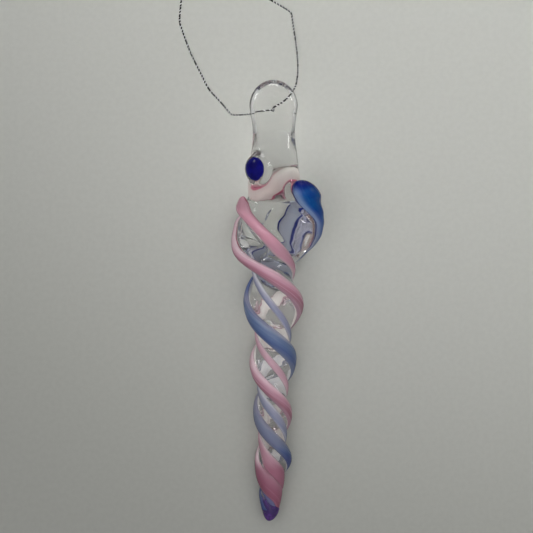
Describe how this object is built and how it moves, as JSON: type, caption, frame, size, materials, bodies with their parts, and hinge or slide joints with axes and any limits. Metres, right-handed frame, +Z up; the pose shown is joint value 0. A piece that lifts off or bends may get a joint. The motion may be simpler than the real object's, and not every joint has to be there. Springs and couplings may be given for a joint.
{
  "type": "icicle hanging ornament",
  "caption": "Twisted glass icicle ornament with coloured spiral canes, a raised dot and a violet tip, lying on its side with its thread hanging loop.",
  "frame": {"origin": "on the ground below the middle of the glass, which lies on its side; measured without the thread loop", "axes": "+Y along the glass from its tip to the pierced eye end, +Z up, away from the ground; the face with the dot looks towards +Z"},
  "size_m": [0.0433, 0.1736, 0.0215],
  "materials": {
    "clear_glass": "clear, fire-polished",
    "pink_glass": "nearly opaque rose pink, fire-polished",
    "blue_glass": "nearly opaque steel blue, fire-polished",
    "pale_blue_glass": "translucent pale blue, fire-polished",
    "cobalt_glass": "opaque cobalt blue, fire-polished",
    "violet_glass": "deep violet, fire-polished",
    "metallic_thread": "black and silver twisted metallic thread"
  },
  "bodies": {
    "icicle": {"clear_glass_core": "clear_glass", "pink_cane_upper": "pink_glass", "pink_cane_rear": "pink_glass", "blue_cane_broad": "blue_glass", "blue_cane_thin": "pale_blue_glass", "cobalt_cap": "cobalt_glass", "clear_dot_gather": "clear_glass", "cobalt_dot": "cobalt_glass", "violet_tip": "violet_glass"},
    "hanging_loop": {"hanging_thread": "metallic_thread", "thread_knot": "metallic_thread", "thread_tail_left": "metallic_thread", "thread_tail_right": "metallic_thread"}
  },
  "joints": [
    {"name": "loop_swing", "type": "hinge", "parent": "icicle", "child": "hanging_loop", "pos_m": [-0.00126, 0.05511, 0.01335], "axis": [0, 0, 1], "range_deg": [-75, 75]}
  ]
}
